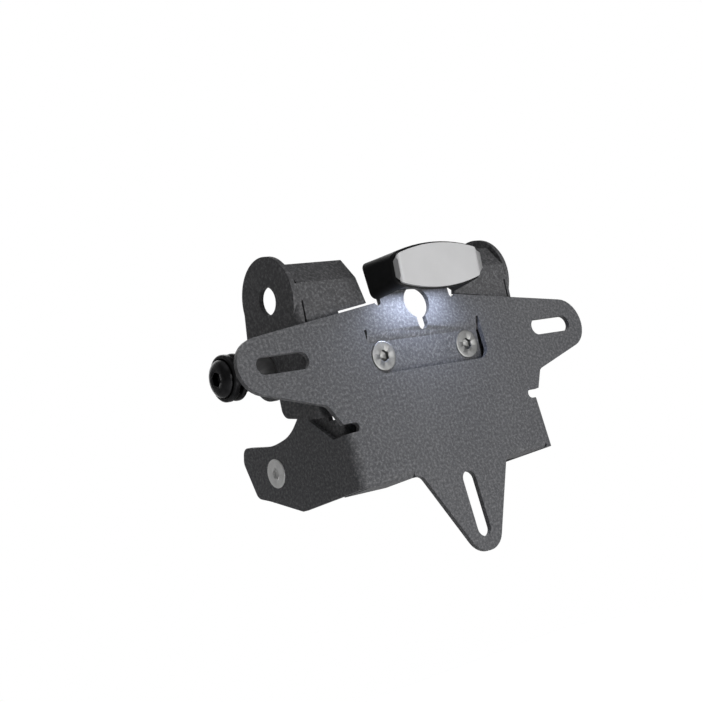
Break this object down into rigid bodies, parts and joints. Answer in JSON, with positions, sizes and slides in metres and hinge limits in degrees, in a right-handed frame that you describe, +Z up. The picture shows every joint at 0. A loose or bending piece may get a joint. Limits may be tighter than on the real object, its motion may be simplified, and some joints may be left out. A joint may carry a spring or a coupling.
{
  "type": "license plate holder",
  "caption": "Folded steel number plate carrier with slotted ears and side wings, bolted to a folded bracket with round indicator flanges and a plate lamp",
  "frame": {"origin": "centre of the plate face, midway between the two ear slots", "axes": "+X to the right seen from behind the bike, +Y forward into the bike, square to the plate, +Z up along the plate"},
  "size_m": [0.174, 0.0887, 0.1248],
  "materials": {
    "plate_carrier": "black textured powder coat",
    "mounting_bracket": "black textured powder coat",
    "lamp_housing": "black moulded plastic",
    "lamp_cover": "light grey satin plastic",
    "lamp_lens": "clear moulded plastic",
    "lamp_board": "green circuit board",
    "lamp_leds": "white light diodes",
    "lamp_gasket": "black rubber sheet",
    "lamp_studs": "zinc plated steel",
    "lamp_washers": "zinc plated steel",
    "lamp_nuts": "zinc plated steel",
    "tongue_washers": "zinc plated steel",
    "tongue_nuts": "zinc plated steel",
    "wing_washers": "zinc plated steel",
    "wing_nuts": "zinc plated steel",
    "bolt_washers": "zinc plated steel",
    "bolt_nuts": "zinc plated steel",
    "tongue_screws": "stainless steel, satin heads",
    "wing_screws": "stainless steel, satin heads",
    "frame_bolts": "black oxide steel",
    "bolt_collars": "black anodised",
    "bolt_sleeves": "turned, plain"
  },
  "bodies": {
    "root": {"plate_carrier": "plate_carrier", "mounting_bracket": "mounting_bracket", "lamp_housing": "lamp_housing", "lamp_cover": "lamp_cover", "lamp_lens": "lamp_lens", "lamp_board": "lamp_board", "lamp_leds": "lamp_leds", "lamp_gasket": "lamp_gasket", "lamp_studs": "lamp_studs", "lamp_washers": "lamp_washers", "lamp_nuts": "lamp_nuts", "tongue_washers": "tongue_washers", "tongue_nuts": "tongue_nuts", "wing_washers": "wing_washers", "wing_nuts": "wing_nuts", "bolt_washers": "bolt_washers", "bolt_nuts": "bolt_nuts", "tongue_screws": "tongue_screws", "wing_screws": "wing_screws", "frame_bolts": "frame_bolts", "bolt_collars": "bolt_collars", "bolt_sleeves": "bolt_sleeves"}
  },
  "joints": []
}
